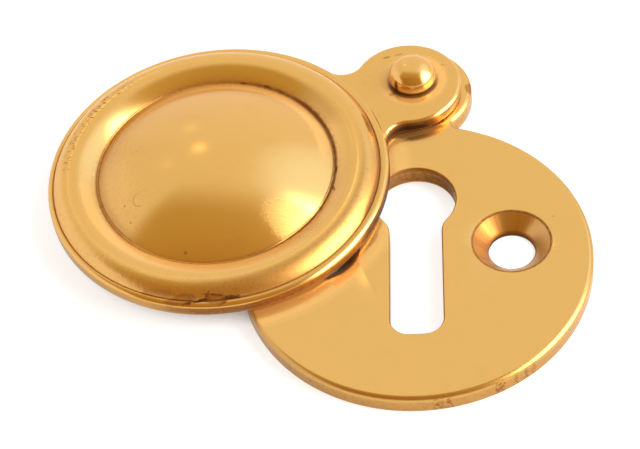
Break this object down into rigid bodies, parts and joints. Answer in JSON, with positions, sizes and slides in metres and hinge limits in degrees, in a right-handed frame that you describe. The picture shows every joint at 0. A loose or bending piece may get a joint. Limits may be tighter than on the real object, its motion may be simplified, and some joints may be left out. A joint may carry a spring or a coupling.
{
  "type": "keyhole escutcheon",
  "caption": "Round keyhole plate with countersunk screw holes and a domed cover that swings aside on a rivet.",
  "frame": {"origin": "midway between the screw holes, on the backplate's back face", "axes": "+X along the line of the screws, +Y from the keyhole towards the pivot, +Z out of the front face"},
  "size_m": [0.0505, 0.042, 0.0063],
  "materials": {
    "plate_brass": "polished",
    "cover_brass": "polished",
    "rivet_brass": "polished"
  },
  "bodies": {
    "plate": {"backplate": "plate_brass", "pivot_rivet": "rivet_brass"},
    "cover": {"swing_cover": "cover_brass"}
  },
  "joints": [
    {"name": "cover_swing", "type": "hinge", "parent": "plate", "child": "cover", "pos_m": [0, 0.01935, 0], "axis": [0, 0, 1], "continuous": true}
  ]
}
